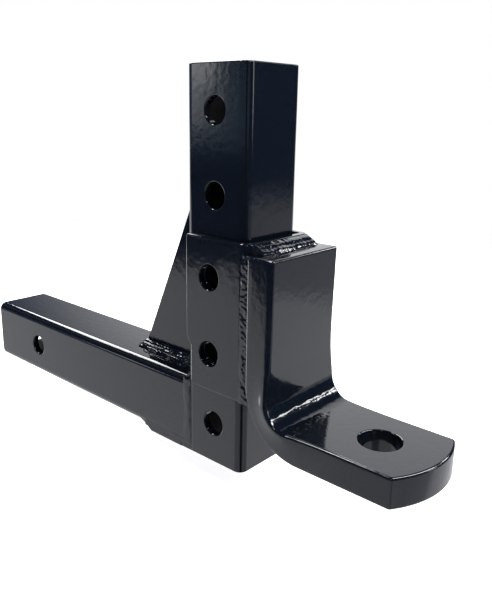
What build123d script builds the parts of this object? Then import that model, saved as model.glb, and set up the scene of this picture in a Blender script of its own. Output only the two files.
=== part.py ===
from build123d import *
from math import sqrt
import os

# Adjustable ball mount for a 50 mm square receiver, in millimetres.
# A square-tube shank is welded to an upright post with five cross holes, and a bent tongue that
# carries the tow ball is welded to a channel that slides on the post and is pinned through it.
# The origin is where the hitch pin's axis crosses the shank's centre line.
# +X points along the shank towards the ball, +Z points up, and the pins lie along Y.

# Square tube, the same for shank and post
tube_side = 50.0
tube_wall = 5.0
tube_corner = 6.0
end_round = 0.8  # cut ends, softened by the coat
pin_hole = 16.5  # clears a pin of five eighths of an inch
rim_round = 0.6

# Shank
shank_length = 250.0
pin_from_end = 63.0

# Post
post_height = 255.0
foot_drop = 3.0  # the post's foot below the shank's underside
first_hole_height = 28.0  # above the foot
hole_pitch = 50.0
hole_count = 1 + int((post_height - first_hole_height - pin_hole) / hole_pitch)

# Gusset between the shank's top and the post's rear face
gusset_thickness = 8.0
gusset_reach = 66.0
gusset_rise = 143.0
gusset_nose = 4.0

# Foot strap under the shank, level with the post's foot
strap_length = 37.0
strap_bevel = 5.0
strap_gap = 6.0  # between the strap and the post, filled by a weld

# Channel that slides on the post, bent from plate
channel_wall = 4.5
slide_clearance = 0.3  # at each side of the post
front_gap = 3.5
channel_bend = 3.0  # inside radius
channel_height = 100.0
channel_hole_step = 1  # rest position: holes counted up from the lowest
side_reach = 20.0  # side walls behind the post's centre line
relief_depth = 4.0
relief_height = 27.0
relief_slope = 6.5
channel_round = 1.4
channel_edge = 0.8  # rounding of the side walls' rear edges

# Tongue, one flat bar bent to an L
bar_thickness = 19.0
bar_width = 63.5
leg_step = 6.0  # the leg's top below the channel's top
leg_to_plate = 100.5  # from the leg's top down to the plate's top
bend_inside = 15.0
bend_outside = 40.0
swell_height = 4.5  # how far the edges inside the bend swell past the bar's sides
swell_spread = 24.0
swell_blend = 6.0  # hollow rounding where a swell runs out
plate_reach = 137.5  # from the post's centre line to the plate's end corners
end_bulge = 9.0
bar_round = 1.5

# Ball hole
ball_hole = 25.4
ball_reach = 109.0  # from the post's centre line
ball_rim = 0.8

# Welds
weld_leg = 6.0
weld_bulge = 0.8  # how far a bead swells past the straight line between its toes
groove_lap = 3.5  # how far a groove bead laps onto the flat beside the groove
groove_root = 1.5  # a bead stops this far short of the thin end of its groove
bead_to_channel = 0.5  # between the beads on the post and the channel sliding past them
corner_end = 2.0  # beads across a tube's corner stop this far short of its side
strap_weld_rise = 5.0  # above the strap, in the groove under the shank's rounded corner
tongue_lap = 0.5  # of a side bead onto the channel's flat side
tongue_weld_leg = 8.0  # on the leg's top

half = tube_side / 2
shank_rear = -pin_from_end
shank_front = shank_rear + shank_length
post_x = shank_front + half
shank_top = half
shank_under = -half
foot = shank_under - foot_drop
post_rear = post_x - half
post_front = post_x + half
lowest_hole = foot + first_hole_height

channel_inner = half + slide_clearance
channel_outer = channel_inner + channel_wall
front_inner = post_front + front_gap
front_outer = front_inner + channel_wall
side_rear = post_x - side_reach
lower_hole = lowest_hole + channel_hole_step * hole_pitch
channel_bottom = lower_hole - (channel_height - hole_pitch) / 2
channel_top = channel_bottom + channel_height

leg_rear = front_outer
leg_front = leg_rear + bar_thickness
leg_top = channel_top - leg_step
plate_top = leg_top - leg_to_plate
plate_bottom = plate_top - bar_thickness
plate_corner = post_x + plate_reach
plate_tip = plate_corner + end_bulge
ball_x = post_x + ball_reach

strap_front = post_rear - strap_gap
strap_rear = strap_front - strap_length
gusset_face = gusset_thickness / 2
gusset_foot = post_rear - gusset_reach

os.makedirs("parts", exist_ok=True)


# A weld's section: a face that swells between its two toes, closed through the inside points
def weld_section(first_toe, last_toe, *inside):
    start, end, root = Vector(*first_toe), Vector(*last_toe), Vector(*inside[0])
    along = end - start
    across = Vector(-along.Y, along.X).normalized() * weld_bulge
    if across.dot(start - root) < 0:
        across = -across
    with BuildLine() as outline:
        ThreePointArc(start, (start + end) / 2 + across, end)
        Polyline(end, *inside, start)
    make_face(outline.edges())


# The square tube's section, with rounded corners outside and inside
def tube_section():
    RectangleRounded(tube_side, tube_side, tube_corner)
    inside = tube_side - 2 * tube_wall
    RectangleRounded(inside, inside, tube_corner - tube_wall, mode=Mode.SUBTRACT)


# A column of pin holes along Y, from the height of the lowest
def pin_holes(x, lowest, count):
    middle = lowest + (count - 1) * hole_pitch / 2
    with Locations(Plane((x, 0, middle), x_dir=(1, 0, 0), z_dir=(0, -1, 0))):
        with GridLocations(hole_pitch, hole_pitch, 1, count):
            Hole(pin_hole / 2)


# The tongue's profile, a bar of even thickness bent through a right angle
def tongue_profile():
    with BuildLine() as outline:
        FilletPolyline((leg_front, leg_top), (leg_front, plate_top), (plate_tip, plate_top), radius=bend_inside)
        Line((plate_tip, plate_top), (plate_tip, plate_bottom))
        FilletPolyline((plate_tip, plate_bottom), (leg_rear, plate_bottom), (leg_rear, leg_top),
                       radius=bend_outside)
        Line((leg_rear, leg_top), (leg_front, leg_top))
    make_face(outline.edges())


# The rims of the pin holes on the faces at plus and minus plane_y
def outer_rims(part, plane_y):
    circles = part.edges().filter_by(GeomType.CIRCLE)
    return circles.filter_by(
        lambda e: abs(e.radius - pin_hole / 2) < 0.01 and abs(abs(e.arc_center.Y) - plane_y) < 0.01)


# Shank: square tube with the hitch pin's cross hole, open at the rear end

with BuildPart() as shank:
    with BuildSketch(Plane.YZ.offset(shank_rear)):
        tube_section()
    extrude(amount=shank_length)
    pin_holes(0, 0, 1)
    fillet(outer_rims(shank, half), rim_round)
    fillet(shank.faces().sort_by(Axis.X)[0].outer_wire().edges(), end_round)
shank.part.label = "shank_tube"
export_step(shank.part, "parts/shank_tube.step")

# Post: the same tube upright, with a row of cross holes for the height pins

with BuildPart() as post:
    with BuildSketch(Plane((post_x, 0, foot))):
        tube_section()
    extrude(amount=post_height)
    pin_holes(post_x, lowest_hole, hole_count)
    fillet(outer_rims(post, half), rim_round)
    for end in (post.faces().sort_by(Axis.Z)[0], post.faces().sort_by(Axis.Z)[-1]):
        fillet(end.outer_wire().edges(), end_round)
post.part.label = "post_tube"
export_step(post.part, "parts/post_tube.step")

# Gusset: a plate on the centre plane, with blunt noses at its two sharp corners

with BuildPart() as gusset:
    with BuildSketch(Plane.XZ):
        with BuildLine():
            Polyline((gusset_foot, shank_top), (post_rear, shank_top),
                     (post_rear, shank_top + gusset_rise),
                     (post_rear - gusset_nose, shank_top + gusset_rise),
                     (gusset_foot, shank_top + gusset_nose), close=True)
        make_face()
    extrude(amount=gusset_face, both=True)
    slope = gusset.faces().sort_by(lambda f: f.area)[-3]
    fillet(slope.edges().filter_by(Axis.Y, reverse=True), end_round)
gusset.part.label = "gusset_plate"
export_step(gusset.part, "parts/gusset_plate.step")

# Foot strap: a short flat under the shank, level with the post's foot and bevelled at its rear end

with BuildPart() as strap:
    with BuildSketch(Plane.XZ):
        Polygon((strap_rear, shank_under), (strap_rear + strap_bevel, foot),
                (strap_front, foot), (strap_front, shank_under), align=None)
    extrude(amount=half, both=True)
strap.part.label = "foot_strap"
export_step(strap.part, "parts/foot_strap.step")

# Beads that fill the grooves between the shank's end and the post's rounded rear corners.
# The channel slides past them, so they end behind its side walls.

bead_front = side_rear - bead_to_channel

with BuildPart() as shank_side_weld_left:
    with BuildSketch(Plane.XY.offset(shank_under)):
        weld_section((post_rear - groove_lap, half), (bead_front, half),
                     (bead_front, half - tube_corner + groove_root),
                     (post_rear - groove_lap, half - tube_corner + groove_root))
    extrude(amount=tube_side)
    add(shank.part, mode=Mode.SUBTRACT)
    add(post.part, mode=Mode.SUBTRACT)
shank_side_weld_left.part.label = "shank_side_weld_left"
export_step(shank_side_weld_left.part, "parts/shank_side_weld_left.step")

with BuildPart() as shank_side_weld_right:
    mirror(shank_side_weld_left.part, about=Plane.XZ)
shank_side_weld_right.part.label = "shank_side_weld_right"
export_step(shank_side_weld_right.part, "parts/shank_side_weld_right.step")

# Gusset's foot bead: a fillet along both sides of the foot that wraps the rear nose

with BuildPart() as gusset_foot_weld:
    toe = gusset_face + weld_leg
    with BuildSketch(Plane.YZ.offset(gusset_foot)):
        weld_section((toe, shank_top), (gusset_face, shank_top + weld_leg), (gusset_face, shank_top))
    with BuildSketch(Plane.YZ.offset(gusset_foot)):
        weld_section((-toe, shank_top), (-gusset_face, shank_top + weld_leg), (-gusset_face, shank_top))
    extrude(amount=gusset_reach)
    with BuildSketch(Plane.YZ.offset(gusset_foot)):
        weld_section((toe, shank_top), (gusset_face, shank_top + weld_leg),
                     (0, shank_top + weld_leg), (0, shank_top))
    revolve(axis=Axis((gusset_foot, 0, 0), (0, 0, 1)), revolution_arc=180)
gusset_foot_weld.part.label = "gusset_foot_weld"
export_step(gusset_foot_weld.part, "parts/gusset_foot_weld.step")

# Fillets across the shank's top, one at each side of the gusset

with BuildPart() as shank_top_weld_left:
    with BuildSketch(Plane.XZ):
        weld_section((post_rear - weld_leg, shank_top), (post_rear, shank_top + weld_leg),
                     (bead_front, shank_top + weld_leg), (bead_front, shank_top - tube_corner),
                     (post_rear - weld_leg, shank_top - tube_corner))
    extrude(amount=-(half - corner_end))
    add(shank.part, mode=Mode.SUBTRACT)
    add(post.part, mode=Mode.SUBTRACT)
    add(gusset.part, mode=Mode.SUBTRACT)
    add(shank_side_weld_left.part, mode=Mode.SUBTRACT)
    add(gusset_foot_weld.part, mode=Mode.SUBTRACT)
shank_top_weld_left.part.label = "shank_top_weld_left"
export_step(shank_top_weld_left.part, "parts/shank_top_weld_left.step")

with BuildPart() as shank_top_weld_right:
    mirror(shank_top_weld_left.part, about=Plane.XZ)
shank_top_weld_right.part.label = "shank_top_weld_right"
export_step(shank_top_weld_right.part, "parts/shank_top_weld_right.step")

# Upright fillets between the gusset and the post's rear face

with BuildPart() as gusset_post_weld_left:
    with BuildSketch(Plane.XY.offset(shank_top)):
        weld_section((post_rear - weld_leg, gusset_face), (post_rear, gusset_face + weld_leg),
                     (post_rear, gusset_face))
    extrude(amount=gusset_rise - weld_leg)
    add(gusset_foot_weld.part, mode=Mode.SUBTRACT)
    add(shank_top_weld_left.part, mode=Mode.SUBTRACT)
gusset_post_weld_left.part.label = "gusset_post_weld_left"
export_step(gusset_post_weld_left.part, "parts/gusset_post_weld_left.step")

with BuildPart() as gusset_post_weld_right:
    mirror(gusset_post_weld_left.part, about=Plane.XZ)
gusset_post_weld_right.part.label = "gusset_post_weld_right"
export_step(gusset_post_weld_right.part, "parts/gusset_post_weld_right.step")

# Foot strap's beads: one in each groove under the shank's lower corners, and one across its front

with BuildPart() as strap_side_weld_left:
    groove_inset = tube_corner - sqrt(tube_corner ** 2 - (tube_corner - strap_weld_rise) ** 2)
    with BuildSketch(Plane.YZ.offset(strap_rear)):
        weld_section((half - groove_inset, shank_under + strap_weld_rise), (half, shank_under),
                     (half - tube_corner + groove_root, shank_under),
                     (half - tube_corner + groove_root, shank_under + strap_weld_rise))
    extrude(amount=strap_length)
    add(shank.part, mode=Mode.SUBTRACT)
strap_side_weld_left.part.label = "strap_side_weld_left"
export_step(strap_side_weld_left.part, "parts/strap_side_weld_left.step")

with BuildPart() as strap_side_weld_right:
    mirror(strap_side_weld_left.part, about=Plane.XZ)
strap_side_weld_right.part.label = "strap_side_weld_right"
export_step(strap_side_weld_right.part, "parts/strap_side_weld_right.step")

with BuildPart() as strap_end_weld:
    with BuildSketch(Plane.XY.offset(foot)):
        with Locations(((strap_front + post_rear) / 2, 0)):
            Rectangle(strap_gap, tube_side - 2 * tube_corner)
    extrude(amount=foot_drop)
strap_end_weld.part.label = "strap_end_weld"
export_step(strap_end_weld.part, "parts/strap_end_weld.step")

# Channel: three walls bent from plate that slide on the post, open at the rear, with two pin holes

with BuildPart() as channel:
    bend_skin = channel_bend + channel_wall
    with BuildSketch(Plane.XY.offset(channel_bottom)):
        with BuildLine():
            FilletPolyline((side_rear, -channel_outer), (front_outer, -channel_outer),
                           (front_outer, channel_outer), (side_rear, channel_outer), radius=bend_skin)
            Polyline((side_rear, channel_outer), (side_rear, -channel_outer))
        make_face()
        with BuildLine():
            FilletPolyline((side_rear, -channel_inner), (front_inner, -channel_inner),
                           (front_inner, channel_inner), (side_rear, channel_inner), radius=channel_bend)
            Polyline((side_rear, channel_inner), (side_rear, -channel_inner))
        make_face(mode=Mode.SUBTRACT)
    extrude(amount=channel_height)
    relief_front = side_rear + relief_depth
    with BuildSketch(Plane.XZ):
        Polygon((side_rear, channel_bottom), (relief_front, channel_bottom),
                (relief_front, channel_bottom + relief_height),
                (side_rear, channel_bottom + relief_height + relief_slope), align=None)
    extrude(amount=channel_outer, both=True, mode=Mode.SUBTRACT)
    rear = channel.edges().filter_by(lambda e: (e @ 0.5).X < relief_front + 0.01)
    fillet(rear.filter_by(lambda e: abs(abs((e @ 0.5).Y) - channel_outer) < 0.01).filter_by(Axis.X, reverse=True),
           channel_edge)
    ends = channel.faces().filter_by(Axis.Z)
    ends = ends.sort_by(Axis.Z)[0].edges() + ends.sort_by(Axis.Z)[-1].edges()
    fillet(ends.filter_by(
        lambda e: abs(abs((e @ 0.5).Y) - channel_outer) < 0.01 or abs((e @ 0.5).X - front_outer) < 0.01
        or (e.geom_type == GeomType.CIRCLE and e.radius > bend_skin - 0.01)), channel_round)
    pin_holes(post_x, lower_hole, 2)
    fillet(outer_rims(channel, channel_outer), rim_round)
channel.part.label = "height_channel"
export_step(channel.part, "parts/height_channel.step")

# Limits of the tongue's width: two flat sides that swell like shallow caps of a ball where the hot
# bar was squeezed inside the bend

with BuildPart() as swell:
    side = bar_width / 2
    swell_radius = (swell_spread ** 2 + swell_height ** 2) / (2 * swell_height)
    swell_x, swell_z = leg_front + bend_inside / 3, plate_top + bend_inside / 2
    with Locations((swell_x, side + swell_height - swell_radius, swell_z)):
        Sphere(swell_radius)
    with Locations((swell_x, 2 * plate_reach, swell_z)):
        Box(4 * plate_reach, 4 * plate_reach, 4 * plate_reach, mode=Mode.INTERSECT)

with BuildPart() as tongue_sides:
    with Locations((swell_x, 0, swell_z)):
        Box(4 * plate_reach, bar_width, 4 * plate_reach)
    add(swell.part)
    mirror(swell.part, about=Plane.XZ)
    circles = tongue_sides.edges().filter_by(GeomType.CIRCLE)
    fillet(circles.filter_by(lambda e: abs(e.radius - swell_spread) < 0.01), swell_blend)

# Tongue: one flat bar bent through a right angle, with a bowed front end and the ball's hole

with BuildPart() as tongue:
    with BuildSketch(Plane.XZ):
        tongue_profile()
    extrude(amount=side + 2 * swell_height, both=True)
    add(tongue_sides.part, mode=Mode.INTERSECT)
    with BuildSketch(Plane.XY.offset(plate_bottom)):
        with BuildLine():
            ThreePointArc((plate_corner, side), (plate_tip, 0), (plate_corner, -side))
            Polyline((plate_corner, -side), (plate_corner, -2 * side), (plate_tip + side, -2 * side),
                     (plate_tip + side, 2 * side), (plate_corner, 2 * side), (plate_corner, side))
        make_face()
    extrude(amount=bar_thickness, mode=Mode.SUBTRACT)
    across = tongue.faces().sort_by(Axis.Z)[-1].edges().filter_by(Axis.Y)
    fillet(tongue.edges().filter_by(Axis.Y, reverse=True) + across, bar_round)
    with Locations((ball_x, 0, plate_top)):
        Hole(ball_hole / 2)
    circles = tongue.edges().filter_by(GeomType.CIRCLE)
    fillet(circles.filter_by(lambda e: abs(e.radius - ball_hole / 2) < 0.01), ball_rim)
tongue.part.label = "tongue_bar"
export_step(tongue.part, "parts/tongue_bar.step")

# Beads between the tongue's leg and the channel: one over each rounded corner and one across the top

with BuildPart() as tongue_side_weld_left:
    groove_end = front_outer - bend_skin - tongue_lap
    with BuildSketch(Plane.XY.offset(channel_bottom)):
        weld_section((groove_end, channel_outer), (leg_rear + bar_round, side),
                     (leg_rear + bar_round, channel_outer - bend_skin + groove_root),
                     (groove_end, channel_outer - channel_wall / 2))
    extrude(amount=leg_top - channel_bottom)
    add(channel.part, mode=Mode.SUBTRACT)
    add(tongue.part, mode=Mode.SUBTRACT)
tongue_side_weld_left.part.label = "tongue_side_weld_left"
export_step(tongue_side_weld_left.part, "parts/tongue_side_weld_left.step")

with BuildPart() as tongue_side_weld_right:
    mirror(tongue_side_weld_left.part, about=Plane.XZ)
tongue_side_weld_right.part.label = "tongue_side_weld_right"
export_step(tongue_side_weld_right.part, "parts/tongue_side_weld_right.step")

with BuildPart() as tongue_top_weld:
    rim_height = channel_top - channel_round
    with BuildSketch(Plane.XZ):
        weld_section((front_outer, rim_height), (leg_rear + tongue_weld_leg, leg_top),
                     (leg_rear + bar_round, leg_top - bar_round),
                     (front_outer - channel_wall / 2, leg_top - bar_round),
                     (front_outer - channel_wall / 2, rim_height))
    extrude(amount=half, both=True)
    add(channel.part, mode=Mode.SUBTRACT)
    add(tongue.part, mode=Mode.SUBTRACT)
    add(tongue_side_weld_left.part, mode=Mode.SUBTRACT)
    add(tongue_side_weld_right.part, mode=Mode.SUBTRACT)
tongue_top_weld.part.label = "tongue_top_weld"
export_step(tongue_top_weld.part, "parts/tongue_top_weld.step")
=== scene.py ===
import bpy
import bmesh
import math
from mathutils import Matrix, Vector, noise


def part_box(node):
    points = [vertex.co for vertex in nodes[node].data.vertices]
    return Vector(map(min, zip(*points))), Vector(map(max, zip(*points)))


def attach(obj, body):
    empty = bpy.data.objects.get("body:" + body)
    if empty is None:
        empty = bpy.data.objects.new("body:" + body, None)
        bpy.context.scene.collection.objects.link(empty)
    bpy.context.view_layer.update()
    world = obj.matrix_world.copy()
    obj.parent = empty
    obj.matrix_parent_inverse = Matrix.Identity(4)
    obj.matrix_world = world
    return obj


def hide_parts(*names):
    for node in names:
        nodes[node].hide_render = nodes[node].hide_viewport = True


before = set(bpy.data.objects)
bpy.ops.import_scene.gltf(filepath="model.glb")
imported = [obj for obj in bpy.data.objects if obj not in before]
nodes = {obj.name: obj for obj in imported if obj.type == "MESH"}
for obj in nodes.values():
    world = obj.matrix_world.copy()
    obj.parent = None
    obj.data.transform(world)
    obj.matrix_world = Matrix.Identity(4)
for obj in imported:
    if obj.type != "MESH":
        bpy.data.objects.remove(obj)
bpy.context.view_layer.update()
print("frame loaded")

# Shared helpers. Lengths below are in millimetres, in the row's frame.


def linear(hexValue):  # sRGB hex to the linear colour that Blender mixes
    channels = [int(hexValue[i:i + 2], 16) / 255 for i in (1, 3, 5)]
    return tuple(c / 12.92 if c <= 0.04045 else ((c + 0.055) / 1.055) ** 2.4 for c in channels) + (1.0,)


def boxMm(node):
    low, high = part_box(node)
    return [c * 1000 for c in low], [c * 1000 for c in high]


def ease(t):  # smooth step from 0 to 1
    t = min(1.0, max(0.0, t))
    return t * t * (3 - 2 * t)


def addPiece(name, mesh, body, replaced, material, sharpAngle=40):
    piece = bpy.data.objects.new(name, mesh)
    bpy.context.scene.collection.objects.link(piece)
    mesh.materials.append(material)
    for face in mesh.polygons:
        face.use_smooth = True
    mesh.set_sharp_from_angle(angle=math.radians(sharpAngle))
    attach(piece, body)
    if replaced:
        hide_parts(*replaced)
    return piece


def addNode(tree, kind, settings=None, links=None):
    node = tree.nodes.new(kind)
    for key, value in (settings or {}).items():
        if isinstance(key, str) and hasattr(node, key):
            setattr(node, key, value)
        else:
            node.inputs[key].default_value = value
    for key, source in (links or {}).items():
        tree.links.new(source, node.inputs[key])
    return node


# Gloss black powder coat on blasted steel: a near-black film whose look is almost all reflection,
# broken by the faint orange peel of baked powder, with a slow drift between glossier and duller.
coatValues = {
    "colour": "#090e15",
    "roughness": 0.085,
    "drift": (-0.02, 0.03),  # how far the roughness strays either way
    "driftScale": 18.0,  # per metre
    "driftSpread": (0.35, 0.7),  # part of the noise that it strays over
    "ior": 1.52,
    "peelMm": 2.4,  # spacing of the orange peel's waves
    "peelDepth": 0.10,
    "peelLift": 0.0006,  # metres, as the bump node takes it
    "lumpScale": 420.0,  # per metre, the pebbly skin of weld metal
    "lumpLift": 0.001,
    "beadLumps": 0.10,
}


def strayingRoughness(tree, shader, spot, scale, spread, bounds):
    cloud = addNode(tree, "ShaderNodeTexNoise", {"Scale": scale, "Detail": 3.0}, {"Vector": spot})
    settings = {"From Min": spread[0], "From Max": spread[1], "To Min": bounds[0], "To Max": bounds[1]}
    rough = addNode(tree, "ShaderNodeMapRange", settings, {"Value": cloud.outputs["Fac"]})
    tree.links.new(rough.outputs["Result"], shader.inputs["Roughness"])


def powderCoat(name, lumps=0.0):
    material = bpy.data.materials.new(name)
    material.use_nodes = True
    tree = material.node_tree
    shader = tree.nodes["Principled BSDF"]
    shader.inputs["Base Color"].default_value = linear(coatValues["colour"])
    shader.inputs["IOR"].default_value = coatValues["ior"]
    spot = addNode(tree, "ShaderNodeTexCoord").outputs["Object"]
    bounds = [coatValues["roughness"] + drift for drift in coatValues["drift"]]
    strayingRoughness(tree, shader, spot, coatValues["driftScale"], coatValues["driftSpread"], bounds)
    cells = 1000 / coatValues["peelMm"] / 2  # a noise cell holds two waves
    waves = addNode(tree, "ShaderNodeTexNoise", {"Scale": cells, "Detail": 1.5}, {"Vector": spot})
    peel = {"Strength": coatValues["peelDepth"], "Distance": coatValues["peelLift"]}
    bump = addNode(tree, "ShaderNodeBump", peel, {"Height": waves.outputs["Fac"]})
    if lumps:
        pebbles = {"Scale": coatValues["lumpScale"], "Detail": 3.0}
        coarse = addNode(tree, "ShaderNodeTexNoise", pebbles, {"Vector": spot})
        bump = addNode(tree, "ShaderNodeBump", {"Strength": lumps, "Distance": coatValues["lumpLift"]},
                       {"Height": coarse.outputs["Fac"], "Normal": bump.outputs["Normal"]})
    tree.links.new(bump.outputs["Normal"], shader.inputs["Normal"])
    return material


flatCoat = powderCoat("Gloss black powder coat on steel plate")
beadCoat = powderCoat("Gloss black powder coat on weld metal", coatValues["beadLumps"])
for node in nodes.values():
    node.data.materials.clear()
    node.data.materials.append(flatCoat)
print("coat made")

# Places that the frame gives
postLow, postHigh = boxMm("post_tube")
shankLow, shankHigh = boxMm("shank_tube")
channelLow, channelHigh = boxMm("height_channel")
barLow, barHigh = boxMm("tongue_bar")
gussetLow, gussetHigh = boxMm("gusset_plate")
strapLow = boxMm("foot_strap")[0]
postX = (postLow[0] + postHigh[0]) / 2
postRear = postLow[0]
shankTop, shankUnder = shankHigh[2], shankLow[2]
sideY = postHigh[1]
up = Vector((0, 0, 1))

# Weld beads. Each bead is laid as a row of sections: a face that swells between two toes, with
# crescent ripples where the puddle froze, and a root buried in the joint.
beadValues = {
    "stepMm": 0.45,
    "across": 12,
    "taperMm": 3.0,  # the bead swells over this length from each end
    "crescentMm": 2.2,  # how far a ripple runs ahead in its middle
    "rippleMm": 1.7,
    "rippleDepth": 0.16,
    "rippleFront": 0.12,  # share of a ripple that rises
    "sway": 0.45,  # slow rise and fall along the bead
    "wander": 0.35,  # how far the toes stray
    "rootSink": 0.3,  # how deep a fillet's root lies in the joint
    "toeSink": 0.12,  # how deep its toes lie below the faces
}


def quads(rowCount, width):  # faces between rows of points, each row closed on itself
    return [(i * width + j, i * width + k, (i + 1) * width + k, (i + 1) * width + j)
            for i in range(rowCount - 1) for j, k in ((j, (j + 1) % width) for j in range(width))]


def closedMesh(name, rows, caps):  # rows in millimetres; the faces are turned outwards
    mesh = bpy.data.meshes.new(name)
    verts = [tuple(p * 0.001) for row in rows for p in row]
    mesh.from_pydata(verts, [], quads(len(rows), len(rows[0])) + caps)
    work = bmesh.new()
    work.from_mesh(mesh)
    bmesh.ops.recalc_face_normals(work, faces=work.faces)
    work.to_mesh(mesh)
    work.free()
    return mesh


# A bead's look: its bulge in the middle, how full its ripples are, how much its toes wander, its lumps,
# and the number of its passes with the valley between them.
def layBead(name, stations, body, replaced, seed, bulge, ripple=1.0, wander=1.0, lumps=0.0, passes=1,
            valley=0.0):
    rows = []
    count, front = beadValues["across"], beadValues["rippleFront"]
    travelled = 0.0
    lastMiddle = (stations[0][0] + stations[0][1]) / 2
    for index, (toeA, toeB, root) in enumerate(stations):
        middle = (toeA + toeB) / 2
        travelled += (middle - lastMiddle).length
        lastMiddle = middle
        outward = (middle - root).normalized()
        toEnd = min(index, len(stations) - 1 - index) * beadValues["stepMm"]
        swell = ease(0.25 + toEnd / beadValues["taperMm"])
        row = []
        for j in range(count + 1):
            t = j / count
            arc = math.sin(math.pi * t)
            crescent = travelled + beadValues["crescentMm"] * (1 - (2 * t - 1) ** 2)
            uneven = 0.3 * noise.noise(Vector((seed, travelled * 0.15, 0)))
            wave = (crescent / beadValues["rippleMm"] + uneven) % 1.0
            scale = (1 - wave) ** 0.7 if wave > front else wave / front * 0.914
            height = bulge * arc * swell
            height += beadValues["rippleDepth"] * ripple * scale * arc ** 0.6 * swell
            low = noise.noise(Vector((travelled * 0.11, t * 1.5, seed * 7.3)))
            mid = noise.noise(Vector((travelled * 0.45, t * 3.0, seed * 3.1 + 20)))
            height += arc ** 0.5 * (beadValues["sway"] * low * wander + lumps * mid)
            shift = 0.12 * noise.noise(Vector((travelled * 0.12, seed, 4.0))) * arc
            ridge = abs(math.sin(math.pi * (passes * t + shift)))
            height += valley * (ridge - 0.6) * arc ** 0.4 * swell
            side = (toeA - toeB).normalized() * (1 if t < 0.5 else -1)
            stray = noise.noise(Vector((travelled * 0.18, 5.0 if t < 0.5 else 9.0, seed)))
            stray *= beadValues["wander"] * wander
            row.append(toeA.lerp(toeB, t) + outward * height + side * stray * (1 - arc))
        row.append(root)
        rows.append(row)
    width = count + 2
    caps = [tuple(range(width - 1, -1, -1)), tuple((len(rows) - 1) * width + j for j in range(width))]
    mesh = closedMesh(name, rows, caps)
    mesh.validate()
    addPiece(name, mesh, body, replaced, beadCoat, 60)


def along(start, end):  # evenly spaced points from start to end
    count = max(4, round((end - start).length / beadValues["stepMm"]))
    return [start.lerp(end, i / count) for i in range(count + 1)]


def filletStations(points, dirA, dirB, legA, legB):
    sink, toe = beadValues["rootSink"], beadValues["toeSink"]
    return [(p + dirA * legA - dirB * toe, p + dirB * legB - dirA * toe, p - (dirA + dirB) * sink)
            for p in points]


def offsetStations(points, toeA, toeB, root):  # the same three offsets, in x, y and z, at every point
    return [(p + Vector(toeA), p + Vector(toeB), p + Vector(root)) for p in points]


# Gusset's foot bead: along the near side, round the rear nose and back, laid in three passes
footBead = {
    "leg": 6.0,
    "noseLeg": 8.0,
    "noseTurns": 34,
    "look": {"bulge": 0.9, "ripple": 0.08, "wander": 1.2, "lumps": 0.15, "passes": 3, "valley": 0.8},
}
gussetFace = gussetHigh[1]
noseX = gussetLow[0]


def noseStations():
    stations = []
    near = along(Vector((postRear - 1, -gussetFace, shankTop)), Vector((noseX, -gussetFace, shankTop)))
    stations += filletStations(near, Vector((0, -1, 0)), up, footBead["leg"], footBead["leg"])
    for i in range(1, footBead["noseTurns"]):
        angle = math.pi * i / footBead["noseTurns"]
        outward = Vector((-math.sin(angle), -math.cos(angle), 0))
        corner = Vector((noseX, -gussetFace * math.cos(angle), shankTop))
        leg = footBead["leg"] + (footBead["noseLeg"] - footBead["leg"]) * math.sin(angle)
        stations += filletStations([corner], outward, up, leg, footBead["leg"] * 0.95)
    far = along(Vector((noseX, gussetFace, shankTop)), Vector((postRear - 1, gussetFace, shankTop)))
    stations += filletStations(far, Vector((0, 1, 0)), up, footBead["leg"], footBead["leg"])
    return stations


layBead("gusset_foot_bead", noseStations(), "shank_frame", ["gusset_foot_weld"], 2, **footBead["look"])

# Beads that come in pairs, right and left
postBead = {"leg": 5.5, "start": 2.0, "stop": 5.0, "look": {"bulge": 0.7}}
topBead = {"leg": 6.0, "endInset": 3.0, "droop": 2.5, "droopFrom": 9.0, "droopOver": 6.0,
           "look": {"bulge": 0.8, "lumps": 0.3}}
grooveBead = {"rearToe": 3.6, "frontToe": 4.4, "root": 4.5,
              "look": {"bulge": 0.3, "ripple": 0.5, "wander": 0.8}}
strapBead = {"upperToe": 5.6, "lowerToe": 0.4, "root": 4.0, "behind": 2.0,
             "look": {"bulge": 0.1, "ripple": 0.2, "wander": 0.5}}
legBead = {"rearToe": 7.0, "frontToe": 1.6, "root": 4.0, "narrowing": 0.8, "narrowFrom": 60.0,
           "narrowOver": 20.0, "look": {"bulge": 0.15, "ripple": 0.12, "wander": 0.9, "lumps": 0.3}}
legRear, legTop = barLow[0], barHigh[2]
channelSide = channelHigh[1]
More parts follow.
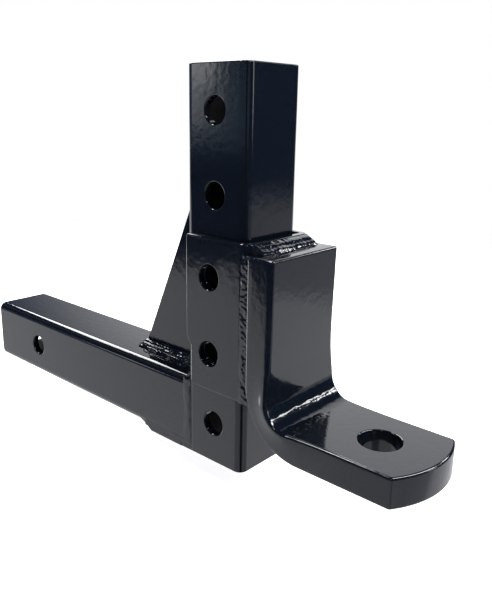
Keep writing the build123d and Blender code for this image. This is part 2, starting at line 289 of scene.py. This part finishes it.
for side, tag in ((-1, "right"), (1, "left")):
    # upright fillet between gusset and post
    points = along(Vector((postRear, side * gussetFace, shankTop + postBead["start"])),
                   Vector((postRear, side * gussetFace, gussetHigh[2] - postBead["stop"])))
    leg = postBead["leg"]
    stations = filletStations(points, Vector((-1, 0, 0)), Vector((0, side, 0)), leg, leg)
    layBead("gusset_post_bead_" + tag, stations, "shank_frame", ["gusset_post_weld_" + tag], 5 + side,
            **postBead["look"])
    # across the shank's top, drooping over its rounded corner at the end
    points = along(Vector((postRear, side * gussetFace, shankTop)),
                   Vector((postRear, side * (sideY - topBead["endInset"]), shankTop)))
    stations = []
    for p in points:
        droop = ease((abs(p.y) - sideY + topBead["droopFrom"]) / topBead["droopOver"]) * topBead["droop"]
        stations += offsetStations([p - up * droop], (-topBead["leg"], 0, -0.2), (0.5, 0, topBead["leg"]),
                                   (1.5, 0, -3))
    layBead("shank_top_bead_" + tag, stations, "shank_frame", ["shank_top_weld_" + tag], 8 + side,
            **topBead["look"])
    # groove between the shank's end and the post's rounded corner
    points = along(Vector((0, side * sideY, shankUnder + 0.4)), Vector((0, side * sideY, shankTop - 0.2)))
    stations = offsetStations(points, (postRear - grooveBead["rearToe"], 0, 0),
                              (postRear + grooveBead["frontToe"], -side * 0.2, 0),
                              (postRear + 1, -side * grooveBead["root"], 0))
    layBead("shank_side_bead_" + tag, stations, "shank_frame", ["shank_side_weld_" + tag], 12 + side,
            **grooveBead["look"])
    # the strap's groove under the shank's lower corner
    points = along(Vector((strapLow[0] - strapBead["behind"], side * sideY, shankUnder)),
                   Vector((postRear, side * sideY, shankUnder)))
    stations = offsetStations(points, (0, -side * 0.2, strapBead["upperToe"]),
                              (0, -side * 0.1, -strapBead["lowerToe"]), (0, -side * strapBead["root"], 0.5))
    layBead("strap_side_bead_" + tag, stations, "shank_frame", ["strap_side_weld_" + tag], 15 + side,
            **strapBead["look"])
    # over the channel's rounded corner, along the tongue's leg
    points = along(Vector((legRear, side * channelSide, channelLow[2] - 0.3)),
                   Vector((legRear, side * channelSide, legTop - 0.5)))
    stations = []
    for p in points:
        height = p.z - channelLow[2]
        narrow = legBead["narrowing"] * ease((height - legBead["narrowFrom"]) / legBead["narrowOver"])
        stations += offsetStations([p], (narrow - legBead["rearToe"], 0, 0),
                                   (legBead["frontToe"], side * 0.1, 0), (-1.5, -side * legBead["root"], 0))
    layBead("tongue_side_bead_" + tag, stations, "ball_carriage", ["tongue_side_weld_" + tag], 18 + side,
            **legBead["look"])

# Strap's ends: a bead that fills the gap to the post, and one that runs out to a wedge behind the strap
tubeCorner = 6.0


def underside(y):  # height of the shank's underside, with its rounded corners
    past = max(0.0, abs(y) - sideY + tubeCorner)
    return shankUnder + tubeCorner - math.sqrt(tubeCorner ** 2 - min(past, tubeCorner - 0.1) ** 2)


foot = strapLow[2]
gapBead = {"rearToe": 6.3, "frontToe": 1.0, "cornerReach": 5.0, "cornerFrom": 7.0, "cornerOver": 6.0,
           "look": {"bulge": 0.0, "ripple": 0.2, "wander": 0.2}}
wedgeBead = {"rearToe": 10.0, "frontToe": 5.5, "look": {"bulge": 0.2, "ripple": 0.2, "wander": 0.4}}
points = along(Vector((0, -sideY + 0.3, 0)), Vector((0, sideY - 0.3, 0)))
stations = []
for p in points:
    reach = gapBead["cornerReach"] * ease((abs(p.y) - sideY + gapBead["cornerFrom"]) / gapBead["cornerOver"])
    stations += offsetStations([p], (postRear - gapBead["rearToe"], 0, foot + 0.1),
                               (postRear + gapBead["frontToe"] + reach, 0, foot + 0.15),
                               (postRear - 3, 0, underside(p.y) + 1.5))
layBead("strap_end_bead", stations, "shank_frame", ["strap_end_weld"], 25, **gapBead["look"])
stations = []
for p in points:
    stations += offsetStations([p], (strapLow[0] - wedgeBead["rearToe"], 0, underside(p.y) + 0.2),
                               (strapLow[0] + wedgeBead["frontToe"], 0, foot + 0.1),
                               (strapLow[0] + 4, 0, underside(p.y) + 1.5))
layBead("strap_rear_bead", stations, "shank_frame", [], 27, **wedgeBead["look"])

# Across the top of the tongue's leg, in two passes
legTopBead = {"halfLength": 26.5, "frontToe": 8.5,
              "look": {"bulge": 1.0, "ripple": 0.05, "wander": 1.6, "lumps": 0.3, "passes": 2, "valley": 0.7}}
middle, reach = Vector((legRear, 0, legTop)), Vector((0, legTopBead["halfLength"], 0))
points = along(middle - reach, middle + reach)
stations = offsetStations(points, (-0.6, 0, channelHigh[2] - legTop - 0.4), (legTopBead["frontToe"], 0, -0.2),
                          (-0.8, 0, -0.8))
layBead("tongue_top_bead", stations, "ball_carriage", ["tongue_top_weld"], 31, **legTopBead["look"])
print("beads laid")

# Tongue: one flat bar, hot bent. Inside the bend the metal is upset: the face wrinkles across the
# bar and its edges grow rounder. The leg leans a little and the end is cut a little askew.
tongue = {
    "thick": 19.0,
    "insideRadius": 15.0,
    "outsideRadius": 40.0,
    "edgeRound": 1.5,
    "upsetRound": 2.6,  # edge rounding inside the bend
    "width": 63.5,
    "swell": 4.4,  # how far the edges inside the bend are squeezed out
    "swellSpread": 21.0,
    "lipFall": 1.3,  # how fast the swell dies away from the inside face
    "swellX": 266.0,
    "swellZ": 29.0,
    "lean": 0.6,  # the leg's front face, forward at its top and back at its foot
    "wrinkle": 0.06,
    "folds": ((0.2, 0.3, 1.0, 3.0), (0.7, 0.7, 0.5, 8.0)),  # per mm across and along the bar, share, seed
    "capStart": 126.0,  # from the post's centre, where the sections start to follow the end's bow
    "cornerReach": 136.9,
    "tipReach": 146.2,
    "skew": 0.087,
    "ballHole": 25.4,
    "ballReach": 109.0,
    "rimRound": 1.0,
    "endRound": 1.7,
    "acrossSteps": 96,
    "legSteps": 40,
    "bendSteps": 60,
    "plateSteps": 30,
}
turnSteps = 6


def sectionLoop(halfWidth, thick, insideRound, outsideRound):  # across and depth, from the inside face round
    loop = []
    steps = tongue["acrossSteps"]
    quarter = [math.pi / 2 * i / turnSteps for i in range(1, turnSteps + 1)]
    wide, narrow = halfWidth - insideRound, halfWidth - outsideRound
    lower = thick - outsideRound
    for i in range(steps + 1):
        loop.append((-wide + 2 * wide * i / steps, 0.0))
    for a in quarter:
        loop.append((wide + insideRound * math.sin(a), insideRound * (1 - math.cos(a))))
    for i in range(1, turnSteps + 1):
        loop.append((halfWidth, insideRound + (lower - insideRound) * i / turnSteps))
    for a in quarter:
        loop.append((narrow + outsideRound * math.cos(a), lower + outsideRound * math.sin(a)))
    for i in range(1, steps + 1):
        loop.append((narrow - 2 * narrow * i / steps, thick))
    for a in quarter:
        loop.append((-narrow - outsideRound * math.sin(a), lower + outsideRound * math.cos(a)))
    for i in range(1, turnSteps + 1):
        loop.append((-halfWidth, lower + (insideRound - lower) * i / turnSteps))
    for a in quarter[:-1]:
        loop.append((-wide - insideRound * math.cos(a), insideRound * (1 - math.sin(a))))
    return loop


def tongueRings():
    half = tongue["width"] / 2
    rIn, rOut, r = tongue["insideRadius"], tongue["outsideRadius"], tongue["edgeRound"]
    under = barLow[2]
    plateTop = under + tongue["thick"]
    inX, inZ = legRear + tongue["thick"] + rIn, plateTop + rIn
    outX, outZ = legRear + rOut, under + rOut
    startX = postX + tongue["capStart"]
    tip = postX + tongue["tipReach"]
    sag = tongue["tipReach"] - tongue["cornerReach"]
    bow = (half ** 2 + sag ** 2) / (2 * sag)
    rings = []

    def front(z):  # the leg's front face at a height
        t = (z - inZ) / (legTop - inZ)
        return inX - rIn + tongue["lean"] * (2 * t - 1) * min(1.0, t * 5)

    def ring(inner, outer, insideRound, inset=0.0, squeeze=0.0, wrinkled=0.0, end=None):
        thick = (outer - inner).length
        down = (outer - inner) / thick
        points = []
        for w, d in sectionLoop(half - inset, thick - 2 * squeeze, insideRound, max(0.05, r - squeeze)):
            p = inner + down * (d + squeeze)
            away = (p.x - tongue["swellX"]) ** 2 + (p.z - tongue["swellZ"]) ** 2
            away /= tongue["swellSpread"] ** 2
            lip = (1 - min(1.0, (d + squeeze) / tongue["thick"])) ** tongue["lipFall"]
            p.y = w * (1 + tongue["swell"] / half * math.exp(-away) * lip)
            if wrinkled and d < 1.0:
                fold = sum(share * noise.noise(Vector((w * across, (inner.x - inner.z) * onward, seed)))
                           for across, onward, share, seed in tongue["folds"])
                p -= down * (tongue["wrinkle"] * wrinkled * (fold - 0.35))
            if end:
                p.x = end(w, p.x)
            points.append(p)
        rings.append(points)

    for i in range(turnSteps, 0, -1):  # the leg's top edges
        a = math.pi / 2 * i / turnSteps
        z = legTop - r + r * math.sin(a)
        inset = r * (1 - math.cos(a))
        ring(Vector((front(z), 0, z)), Vector((legRear, 0, z)), max(0.05, r - inset), inset, inset)
    for i in range(tongue["legSteps"]):
        t = i / tongue["legSteps"]
        z = legTop - r + (inZ - legTop + r) * t
        outerZ = legTop - r + (outZ - legTop + r) * t
        ring(Vector((front(z), 0, z)), Vector((legRear, 0, outerZ)),
             r + (tongue["upsetRound"] - r) * ease(t * 1.05) * 0.9, wrinkled=ease((t - 0.88) * 8))
    for i in range(tongue["bendSteps"] + 1):
        t = i / tongue["bendSteps"]
        a = math.pi / 2 * t
        ring(Vector((inX - rIn * math.cos(a), 0, inZ - rIn * math.sin(a))),
             Vector((outX - rOut * math.cos(a), 0, outZ - rOut * math.sin(a))),
             r + (tongue["upsetRound"] - r) * (0.9 + 0.1 * math.sin(2 * a)) * ease(1.9 - t * 1.4),
             wrinkled=1.0)
    for i in range(1, tongue["plateSteps"] + 1):
        t = i / tongue["plateSteps"]
        before = r + (tongue["upsetRound"] - r) * 0.9 * ease(0.5)
        ring(Vector((inX + (startX - inX) * t, 0, plateTop)), Vector((outX + (startX - outX) * t, 0, under)),
             r + (before - r) * ease(1 - t * 3), wrinkled=ease(1 - t * 4))

    def bowed(fraction, back):
        def shift(w, x):
            arc = tip - bow + math.sqrt(bow ** 2 - w ** 2) + tongue["skew"] * w - back
            return startX + (arc - startX) * fraction
        return shift

    inner, outer = Vector((startX, 0, plateTop)), Vector((startX, 0, under))
    for fraction in (0.35, 0.7, 0.95):
        ring(inner, outer, r, end=bowed(fraction, tongue["endRound"]))
    endRound = tongue["endRound"]
    for i in range(2 * turnSteps + 1):
        a = math.pi / 4 * i / turnSteps
        inset = endRound * (1 - math.cos(a))
        ring(inner, outer, max(0.05, r - inset), inset * 0.4, inset,
             end=bowed(1.0, endRound * (1 - math.sin(a))))
    return rings


def ringsToMesh(name, rings):
    width, steps = len(rings[0]), tongue["acrossSteps"]
    farStart = steps + 3 * turnSteps
    caps = []
    for base in (0, (len(rings) - 1) * width):  # both ends, closed by strips across the thickness
        caps += [(base + j, base + j + 1, base + farStart + steps - j - 1, base + farStart + steps - j)
                 for j in range(steps)]
        caps.append(tuple(base + j for j in range(steps, farStart + 1)))
        caps.append(tuple(base + j for j in range(farStart + steps, width)) + (base,))
    return closedMesh(name, rings, caps)


def latheMesh(name, profile, turns=96):  # radius and height pairs turned about Z, closed on the axis
    mesh = bpy.data.meshes.new(name)
    angles = [2 * math.pi * i / turns for i in range(turns)]
    verts = [(radius * math.cos(a) * 0.001, radius * math.sin(a) * 0.001, z * 0.001) for radius, z in profile
             for a in angles]
    caps = [tuple(range(turns - 1, -1, -1)), tuple((len(profile) - 1) * turns + i for i in range(turns))]
    mesh.from_pydata(verts, [], quads(len(profile), turns) + caps)
    return mesh


def bored(mesh, cutters):  # the mesh with the cutters taken away
    body = bpy.data.objects.new("work", mesh)
    bpy.context.scene.collection.objects.link(body)
    tools = []
    for cutter, place in cutters:
        tool = bpy.data.objects.new("cutter", cutter)
        tool.matrix_world = place
        bpy.context.scene.collection.objects.link(tool)
        modifier = body.modifiers.new("hole", "BOOLEAN")
        modifier.operation = "DIFFERENCE"
        modifier.solver = "EXACT"
        modifier.object = tool
        tools.append(tool)
    graph = bpy.context.evaluated_depsgraph_get()
    result = bpy.data.meshes.new_from_object(body.evaluated_get(graph))
    for item in tools + [body]:
        bpy.data.objects.remove(item)
    return result


rimTurn = [math.pi / 2 * i / 8 for i in range(9)]


def rimProfile(radius, low, high, rim):  # a bore's cutter, flared at both ends
    flare = [(radius + rim * (1 - math.sin(a)), rim * (1 - math.cos(a))) for a in rimTurn]
    lower = [(radius + rim * 3, low - rim * 2)] + [(wide, low + depth) for wide, depth in flare]
    upper = [(wide, high - depth) for wide, depth in reversed(flare)] + [(radius + rim * 3, high + rim * 2)]
    return lower + upper


ballProfile = rimProfile(tongue["ballHole"] / 2, barLow[2], barLow[2] + tongue["thick"], tongue["rimRound"])
ballCutter = latheMesh("ball_cutter", ballProfile)
ballPlace = Matrix.Translation(Vector((postX + tongue["ballReach"], 0, 0)) * 0.001)
tongueMesh = bored(ringsToMesh("bent_tongue", tongueRings()), [(ballCutter, ballPlace)])
addPiece("bent_tongue", tongueMesh, "ball_carriage", ["tongue_bar"], flatCoat, 35)
print("tongue bent")

# Tubes and channel: the frame's own meshes with rounder rims on the pin holes, where the coat has
# pulled back from the edge and shines, and inside only a thin matt coat, darkened as painted shade.
holes = {
    "radius": 8.25,
    "rim": 0.8,
    "channelRim": 0.5,
    "pitch": 50.0,
    "count": 5,
    "firstHeight": 28.0,  # above the post's foot
}
insideCoatAndShadeValues = {
    # painted shade: darker than the outside coat and with less shine, so the hollows read unlit
    "colour": "#050608",
    "specular": 0.12,
    "dustScale": 300.0,  # per metre
    "dustSpread": (0.3, 0.7),
    "roughness": (0.75, 0.95),
    "skin": 1.5,  # faces deeper than this below the outside count as inside
    "rearEdge": 4.0,  # the channel's faces this near its rear edge keep the outside coat
    "frontWall": 3.5,  # and so do those this near its front
    "lengthwise": 0.5,  # faces that look along the tube more than this are its cut ends
}
insideCoatAndShade = bpy.data.materials.new("Thin matt black coat and painted shade inside the tubes")  # darker, duller coat inside: partly a thin coat, partly painted shade so the hollow reads unlit
insideCoatAndShade.use_nodes = True
tree = insideCoatAndShade.node_tree
shader = tree.nodes["Principled BSDF"]
shader.inputs["Base Color"].default_value = linear(insideCoatAndShadeValues["colour"])
shader.inputs["Specular IOR Level"].default_value = insideCoatAndShadeValues["specular"]
spot = addNode(tree, "ShaderNodeTexCoord").outputs["Object"]
strayingRoughness(tree, shader, spot, insideCoatAndShadeValues["dustScale"], insideCoatAndShadeValues["dustSpread"],
                  insideCoatAndShadeValues["roughness"])


def rimFlare(radius, rim):  # cutter that rounds a hole's rim; its height 0 lies on the face
    start = radius + 0.02
    flare = [(start + rim * (1 - math.cos(a)), -rim * (1 - math.sin(a))) for a in rimTurn]
    return [(radius - 1.0, -rim - 0.3), (start, -rim - 0.3)] + flare + [(radius + rim + 0.6, 0.4)]


def rimCutters(x, heights, faceY, rim=holes["rim"]):
    cutters = []
    for side in (-1, 1):
        turn = Matrix.Rotation(math.radians(-90 * side), 4, "X")
        for z in heights:
            place = Matrix.Translation(Vector((x, side * faceY, z)) * 0.001) @ turn
            cutters.append((latheMesh("rim_cutter", rimFlare(holes["radius"], rim)), place))
    return cutters


def recoat(name, node, body, cutters, inside):
    mesh = nodes[node].data.copy()
    work = bmesh.new()
    work.from_mesh(mesh)
    bmesh.ops.remove_doubles(work, verts=work.verts, dist=1e-6)
    work.to_mesh(mesh)
    work.free()
    mesh.materials.clear()
    mesh = bored(mesh, cutters)
    piece = addPiece(name, mesh, body, [node], flatCoat, 35)
    mesh.materials.append(insideCoatAndShade)
    for face in mesh.polygons:
        if inside(face.center * 1000, face.normal):
            face.material_index = 1
    even = piece.modifiers.new("even normals", "WEIGHTED_NORMAL")
    even.keep_sharp = True


postHoles = [postLow[2] + holes["firstHeight"] + holes["pitch"] * i for i in range(holes["count"])]
deep, channelDeep = sideY - insideCoatAndShadeValues["skin"], channelSide - insideCoatAndShadeValues["skin"]
channelRear = channelLow[0] + insideCoatAndShadeValues["rearEdge"]
channelFront = channelHigh[0] - insideCoatAndShadeValues["frontWall"]
ends = insideCoatAndShadeValues["lengthwise"]
recoat("post_shell", "post_tube", "shank_frame", rimCutters(postX, postHoles, sideY),
       lambda c, n: max(abs(c.x - postX), abs(c.y)) < deep and abs(n.z) < ends)
recoat("shank_shell", "shank_tube", "shank_frame", rimCutters(0, [0], sideY),
       lambda c, n: max(abs(c.z), abs(c.y)) < deep and abs(n.x) < ends)
recoat("channel_shell", "height_channel", "ball_carriage",
       rimCutters(postX, postHoles[1:3], channelSide, holes["channelRim"]),
       lambda c, n: abs(c.y) < channelDeep and channelRear < c.x < channelFront and abs(n.z) < ends)
print("tubes recoated")

# Studio: a white sheet on a table in a dark room, a bright wall behind it, a panel up on the left.
# The coat mirrors the sheet, so the sheet's edges and the dark beyond it draw the object's tones.
studio = {
    "paper": "#f2f2f2",
    "floorHalf": 4.0,
    "lowestStep": 50.0,  # the carriage can go this far down, its tongue then below the post's foot
    "lift": 0.78,  # plain level added where the camera looks at the sheet
    "fade": (0.55, 0.95),  # metres from the middle, between which the sheet turns plain white
    "dark": (0.03, 0.045, 0.09, 1),
    "haze": (0.20, 0.30, 0.42, 1),
    "hazeBounds": (("z", -0.08, -0.03), ("z", 0.12, 0.03), ("y", 0.0, -0.4)),
    "arcAxis": (-0.76, 0.073, 0.645),  # square to the arc that lights the plate's end edge
}
# What the coat mirrors in each direction: a level, and the bounds between which it rises along an axis
roomLights = {
    # behind, mirrored in level faces
    "wall": (1.45, ("y", 0.40, 0.72), ("z", 0.05, 0.15), ("x", 0.0, -0.2)),
    # two overlapping patches in front on the left, mirrored in the post's near side
    "post patch": (1.25, ("x", -0.685, -0.715), ("x", -0.80, -0.75), ("y", -0.60, -0.66), ("z", -0.05, 0.0),
                   ("z", 0.14, 0.09)),
    "post patch top": (1.5, ("x", -0.685, -0.715), ("x", -0.80, -0.75), ("y", -0.60, -0.66),
                       ("z", 0.02, 0.06), ("z", 0.14, 0.09)),
    # on the right, mirrored along rounded corners beside the forward faces
    "corner strip": (3.5, ("x", 0.73, 0.77), ("x", 0.90, 0.84), ("y", 0.0, 0.3), ("z", -0.07, 0.03),
                     ("z", 0.4, 0.2)),
    # on the left, mirrored along corners that turn to the rear
    "rear card": (3.0, ("x", -0.87, -0.895), ("z", -0.18, -0.22), ("y", -0.55, -0.45)),
    # high in front, mirrored in the sloping faces of the beads
    "front strip": (26.0, ("x", -0.38, -0.52), ("x", -0.60, -0.57), ("y", -0.55, -0.45),
                    ("y", -0.06, -0.14), ("z", 0.5, 0.6)),
    # mirrored in the end edge of the tongue's plate
    "end arc": (22.0, ("arc", -0.12, -0.08), ("arc", 0.12, 0.08), ("y", -0.15, -0.05), ("y", 0.70, 0.60),
                ("z", 0.2, 0.3)),
}
# The white sheet as the coat sees it. Each row of numbers is a smooth step along an axis: from, to, and
# the levels at both where they are not 0 and 1.
sheet = {
    "edge": 0.234,  # how far below the horizon it ends in front, about 14 degrees
    "riseFrom": 0.712,
    "rise": 0.45,
    "fallFrom": 0.655,
    "fall": 1.3,
    "fallMost": 0.146,
    "blur": 0.008,
    "blurOfFall": 0.4,
    "frontX": (-0.55, -0.42, 1.0, 0.75),
    "cornerX": (0.35, 0.6, 0, 0.75),
    "cornerY": (-0.2, -0.4),
    "tableZ": (-0.10, -0.16, 0, 0.50),  # on the right the table beyond it still catches half the light
    "rightZ": (-0.28, -0.30, 0, 0.55),
    "rightX": (0.62, 0.72, 1.0, 0.6),
    "leftZ": (0.0, -0.06),
    "toRight": (-0.2, 0.3),
    "toBehind": (-0.1, 0.1),
}
# Softboxes, in metres: the longer side's direction, and level as the coat sees it
panels = {
    "left panel": {"where": (-0.542, 0.395, 0.769), "aim": (0.12, 0, 0.05), "size": (0.90, 0.42),
                   "longSide": (-0.72, -0.59, -0.37), "level": 11.0},
    "back strip": {"where": (0.8736, 0.8395, 0.5238), "aim": (0.2675, 0, 0.0247), "size": (0.50, 0.045),
                   "longSide": (-0.067, 0.08, -0.0545), "level": 18.0},
    "end panel": {"where": (0.715, 0.984, 0.595), "aim": (0.355, 0, 0.02), "size": (0.16, 0.16),
                  "longSide": (0, 0, 1), "level": 20.0},
    "front right panel": {"where": (0.70, -0.80, 0.80), "aim": (0.27, 0, 0.03), "size": (0.14, 0.14),
                          "longSide": (0, 0, 1), "level": 20.0},
}


def ramp(tree, source, start, end, low=0.0, high=1.0):  # smooth step of a value between two bounds
    settings = {"interpolation_type": "SMOOTHSTEP", "From Min": start, "From Max": end, "To Min": low,
                "To Max": high}
    if start > end:
        settings.update({"From Min": end, "From Max": start, "To Min": high, "To Max": low})
    return addNode(tree, "ShaderNodeMapRange", settings, {"Value": source}).outputs["Result"]


def combine(tree, operation, first, second, *more):
    node = addNode(tree, "ShaderNodeMath", {"operation": operation})
    for slot, value in enumerate((first, second)):
        if isinstance(value, (int, float)):
            node.inputs[slot].default_value = value
        else:
            tree.links.new(value, node.inputs[slot])
    return combine(tree, operation, node.outputs[0], *more) if more else node.outputs[0]


floorMesh = bpy.data.meshes.new("floor")
far = studio["floorHalf"]
floorZ = (min(postLow[2], barLow[2] - studio["lowestStep"]) - 0.1) * 0.001
corners = [(-far, -far, floorZ), (far, -far, floorZ), (far, far, floorZ), (-far, far, floorZ)]
floorMesh.from_pydata(corners, [], [(0, 1, 2, 3)])
floor = bpy.data.objects.new("floor", floorMesh)
bpy.context.scene.collection.objects.link(floor)
paper = bpy.data.materials.new("Matt white paper sheet")  # the picture's plain white ground
paper.use_nodes = True
paper.cycles.emission_sampling = "NONE"
tree = paper.node_tree
shader = tree.nodes["Principled BSDF"]
shader.inputs["Base Color"].default_value = linear(studio["paper"])
shader.inputs["Roughness"].default_value = 0.9
shader.inputs["Specular IOR Level"].default_value = 0.0
path = addNode(tree, "ShaderNodeLightPath")
place = addNode(tree, "ShaderNodeTexCoord")
away = addNode(tree, "ShaderNodeVectorMath", {"operation": "LENGTH"},
               {0: place.outputs["Object"]}).outputs["Value"]
level = addNode(tree, "ShaderNodeEmission", {"Color": (1, 1, 1, 1), "Strength": studio["lift"]})
lit = addNode(tree, "ShaderNodeAddShader", None, {0: shader.outputs[0], 1: level.outputs[0]})
plain = addNode(tree, "ShaderNodeEmission", {"Color": (1, 1, 1, 1), "Strength": 1.0})
faded = addNode(tree, "ShaderNodeMixShader", None,
                {0: ramp(tree, away, *studio["fade"]), 1: lit.outputs[0], 2: plain.outputs[0]})
byCamera = addNode(tree, "ShaderNodeMixShader", None,
                   {0: path.outputs["Is Camera Ray"], 1: shader.outputs[0], 2: faded.outputs[0]})
clear = addNode(tree, "ShaderNodeBsdfTransparent")  # the coat mirrors the room's own sheet, drawn below
byGloss = addNode(tree, "ShaderNodeMixShader", None,
                  {0: path.outputs["Is Glossy Ray"], 1: byCamera.outputs[0], 2: clear.outputs[0]})
tree.links.new(byGloss.outputs[0], tree.nodes["Material Output"].inputs["Surface"])
floorMesh.materials.append(paper)

world = bpy.data.worlds.new("studio")
bpy.context.scene.world = world
world.use_nodes = True
tree = world.node_tree
tree.nodes.clear()
path = addNode(tree, "ShaderNodeLightPath")
place = addNode(tree, "ShaderNodeTexCoord")
split = addNode(tree, "ShaderNodeSeparateXYZ", None, {0: place.outputs["Generated"]})
x, y, z = (split.outputs[axis] for axis in "XYZ")
arc = addNode(tree, "ShaderNodeVectorMath", {"operation": "DOT_PRODUCT", 1: studio["arcAxis"]},
              {0: place.outputs["Generated"]}).outputs["Value"]
axes = {"x": x, "y": y, "z": z, "arc": arc}


def bounded(bounds, *levels):  # the levels, faded out beyond the bounds along each axis
    ramps = [ramp(tree, axes[axis], start, end) for axis, start, end in bounds]
    return combine(tree, "MULTIPLY", *levels, *ramps)


haze = bounded(studio["hazeBounds"])
room = addNode(tree, "ShaderNodeMix", {"data_type": "RGBA", 6: studio["dark"], 7: studio["haze"]}, {0: haze})
rise = combine(tree, "MINIMUM", combine(tree, "ADD", x, sheet["riseFrom"]), 0.0)
rise = combine(tree, "MULTIPLY", rise, sheet["rise"])
fall = combine(tree, "MAXIMUM", combine(tree, "ADD", x, sheet["fallFrom"]), 0.0)
fall = combine(tree, "MINIMUM", combine(tree, "MULTIPLY", fall, sheet["fall"]), sheet["fallMost"])
blur = combine(tree, "ADD", combine(tree, "MULTIPLY", fall, sheet["blurOfFall"]), sheet["blur"])
edge = combine(tree, "DIVIDE", combine(tree, "ADD", z, rise, fall, sheet["edge"]), blur)
front = combine(tree, "MULTIPLY", ramp(tree, edge, 1.0, -1.0), ramp(tree, x, *sheet["frontX"]))
corner = combine(tree, "MULTIPLY", ramp(tree, x, *sheet["cornerX"]), ramp(tree, y, *sheet["cornerY"]))
front = combine(tree, "MULTIPLY", front, combine(tree, "SUBTRACT", 1.0, corner))
right = combine(tree, "ADD", ramp(tree, z, *sheet["tableZ"]), ramp(tree, z, *sheet["rightZ"]))
right = combine(tree, "MULTIPLY", right, ramp(tree, x, *sheet["rightX"]), ramp(tree, x, *sheet["toRight"]))
left = combine(tree, "MULTIPLY", ramp(tree, z, *sheet["leftZ"]), ramp(tree, x, *reversed(sheet["toRight"])))
behind = combine(tree, "MULTIPLY", combine(tree, "ADD", left, right), ramp(tree, y, *sheet["toBehind"]))
front = combine(tree, "MULTIPLY", front, ramp(tree, y, *reversed(sheet["toBehind"])))
bright = combine(tree, "ADD", front, behind)
for level, *bounds in roomLights.values():
    bright = combine(tree, "ADD", bright, bounded(bounds, level))
ambient = addNode(tree, "ShaderNodeMix", {"data_type": "RGBA", "blend_type": "ADD", 0: 1.0},
                  {6: room.outputs[2], 7: bright})
soft = addNode(tree, "ShaderNodeBackground", None, {"Color": ambient.outputs[2]})
white = addNode(tree, "ShaderNodeBackground", {"Color": (1, 1, 1, 1), "Strength": 1.0})
mixed = addNode(tree, "ShaderNodeMixShader", None,
                {0: path.outputs["Is Camera Ray"], 1: soft.outputs[0], 2: white.outputs[0]})
addNode(tree, "ShaderNodeOutputWorld", None, {0: mixed.outputs[0]})


def softbox(name, where, aim, size, longSide, level):
    light = bpy.data.lights.new(name, "AREA")
    light.shape = "RECTANGLE"
    light.size, light.size_y = size
    light.energy = level * math.pi * size[0] * size[1]
    lamp = bpy.data.objects.new(name, light)
    back = (Vector(where) - Vector(aim)).normalized()
    across = (Vector(longSide) - back * back.dot(Vector(longSide))).normalized()
    turn = Matrix((across, back.cross(across), back)).transposed().to_4x4()
    lamp.matrix_world = Matrix.Translation(Vector(where)) @ turn
    bpy.context.scene.collection.objects.link(lamp)


for name, panel in panels.items():
    softbox(name, **panel)

# Camera: placed by fitting the labelled sizes to the photograph
shot = {
    "azimuth": 41.85,
    "elevation": 14.55,
    "roll": 0.90,
    "where": (0.48716, -0.30716, 0.2002),
    "focalPx": 654.43,
    "shiftPx": (5.29, -18.2),
    "framePx": 596,
    "sensorMm": 36,
}
azimuth, elevation, roll = (math.radians(shot[key]) for key in ("azimuth", "elevation", "roll"))
flat = math.cos(elevation)
ahead = Vector((-math.sin(azimuth) * flat, math.cos(azimuth) * flat, -math.sin(elevation)))
right = Vector((math.cos(azimuth), math.sin(azimuth), 0))
above = right.cross(ahead)
upright, tilt = math.cos(roll), math.sin(roll)
right, above = right * upright + above * tilt, above * upright - right * tilt
lens = bpy.data.cameras.new("camera")
lens.sensor_fit = "AUTO"
lens.sensor_width = shot["sensorMm"]
lens.lens = shot["focalPx"] * shot["sensorMm"] / shot["framePx"]
lens.shift_x, lens.shift_y = (shift / shot["framePx"] for shift in shot["shiftPx"])
lens.clip_start, lens.clip_end = 0.01, 50
camera = bpy.data.objects.new("camera", lens)
turn = Matrix((right, above, -ahead)).transposed().to_4x4()
camera.matrix_world = Matrix.Translation(Vector(shot["where"])) @ turn
bpy.context.scene.collection.objects.link(camera)
bpy.context.scene.camera = camera
bpy.context.scene.view_settings.view_transform = "Standard"
print("studio and camera set")
